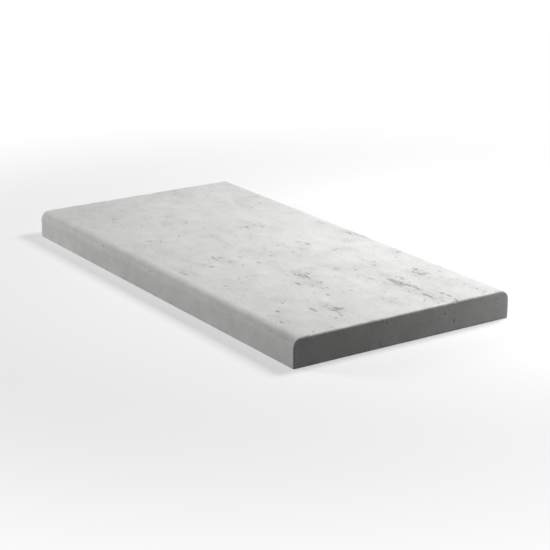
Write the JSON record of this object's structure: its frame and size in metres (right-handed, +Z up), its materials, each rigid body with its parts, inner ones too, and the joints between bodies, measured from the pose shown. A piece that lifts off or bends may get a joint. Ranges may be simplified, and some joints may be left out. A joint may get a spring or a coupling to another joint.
{
  "type": "wall coping slab",
  "caption": "Flat cast-concrete wall coping with rounded long top edges, square butt ends and a drip groove under each overhang, laid along the top of a garden wall.",
  "frame": {"origin": "middle of the underside, on the bed plane", "axes": "+X along the wall, +Y across the wall, +Z up, out of the weathered top face"},
  "size_m": [0.6, 0.3, 0.035],
  "materials": {
    "cast_concrete": "matte, smooth from the mould, with shallow travertine-like pits and streaks along the length"
  },
  "bodies": {
    "root": {"coping_slab": "cast_concrete"}
  },
  "joints": []
}
